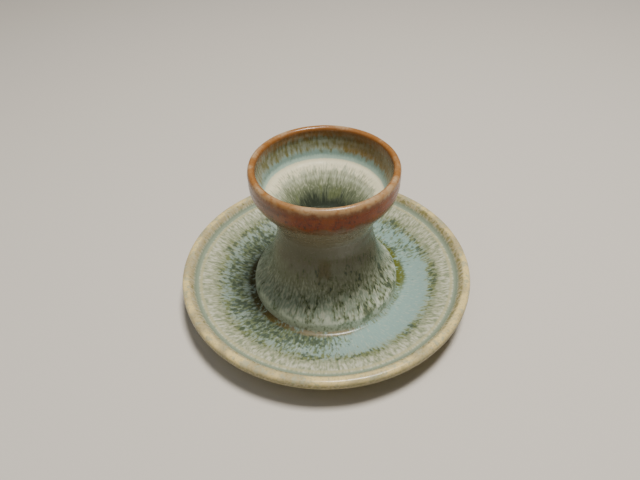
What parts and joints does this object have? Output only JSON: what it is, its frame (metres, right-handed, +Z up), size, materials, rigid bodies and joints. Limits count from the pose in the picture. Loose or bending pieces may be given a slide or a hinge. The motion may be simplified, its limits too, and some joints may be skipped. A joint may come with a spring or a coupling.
{
  "type": "communion chalice",
  "caption": "Hand-thrown glazed stoneware communion chalice: a small funnel-floored cup on a flared hollow pedestal, fired in one with the shallow footed paten plate under it.",
  "frame": {"origin": "centre of the paten's foot ring, on the surface the chalice stands on", "axes": "+Z up along the axis of revolution; -Y is the side that faces the viewer, +X to the viewer's right"},
  "size_m": [0.156, 0.156, 0.083],
  "materials": {
    "stoneware": "bare fired stoneware, matt and slightly gritty",
    "slip": "fired slip of the same clay",
    "rust_glaze": "satin iron-red glaze over rutile glaze, breaking tan on the lip",
    "cup_lining_glaze": "glossy rutile glaze, olive on the wall and cream on the shoulder, streaked towards the well",
    "rutile_glaze": "glossy grey-white rutile glaze with vertical streaks of green and brown",
    "paten_glaze": "glossy pale blue-grey rutile glaze with olive and dark flecks, cream on the bead",
    "underside_glaze": "satin cream-grey glaze, thinner than on the top",
    "glass_pool": "thick glassy olive-green glaze where it pooled"
  },
  "bodies": {
    "root": {"cup": "stoneware", "pedestal": "stoneware", "paten": "stoneware", "neck_luting_slip": "slip", "foot_luting_slip": "slip", "cup_outside_glaze": "rust_glaze", "cup_inside_glaze": "cup_lining_glaze", "pedestal_glaze": "rutile_glaze", "paten_top_glaze": "paten_glaze", "paten_underside_glaze": "underside_glaze", "cup_glaze_pool": "glass_pool", "foot_glaze_pool": "glass_pool"}
  },
  "joints": []
}
